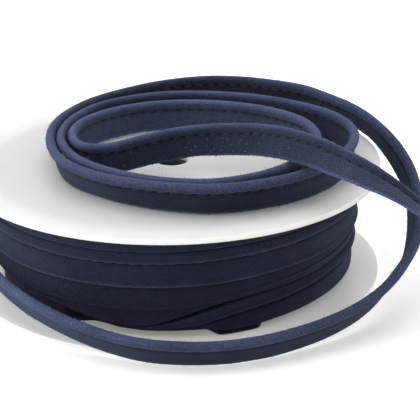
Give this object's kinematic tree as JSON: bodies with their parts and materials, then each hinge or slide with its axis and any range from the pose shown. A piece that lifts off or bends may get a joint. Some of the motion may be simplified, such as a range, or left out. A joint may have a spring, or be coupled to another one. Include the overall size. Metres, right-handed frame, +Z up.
{
  "type": "roll of piping trim on a spool",
  "caption": "Corded piping trim wound on a flat plastic spool, with a loose length led round the front and coiled on top.",
  "frame": {"origin": "on the spool's axis, at the underside of the lower flange", "axes": "+Z up along the spool's axis, -Y towards the viewer of the picture, +X to the right"},
  "size_m": [0.1853, 0.1433, 0.0562],
  "materials": {
    "cloth": "plain woven cotton, matt, navy",
    "plastic": "smooth moulded plastic, soft gloss, white"
  },
  "bodies": {
    "root": {"lower_flange": "plastic", "upper_flange": "plastic", "hub": "plastic", "pack": "cloth", "loose_strand": "cloth"}
  },
  "joints": []
}
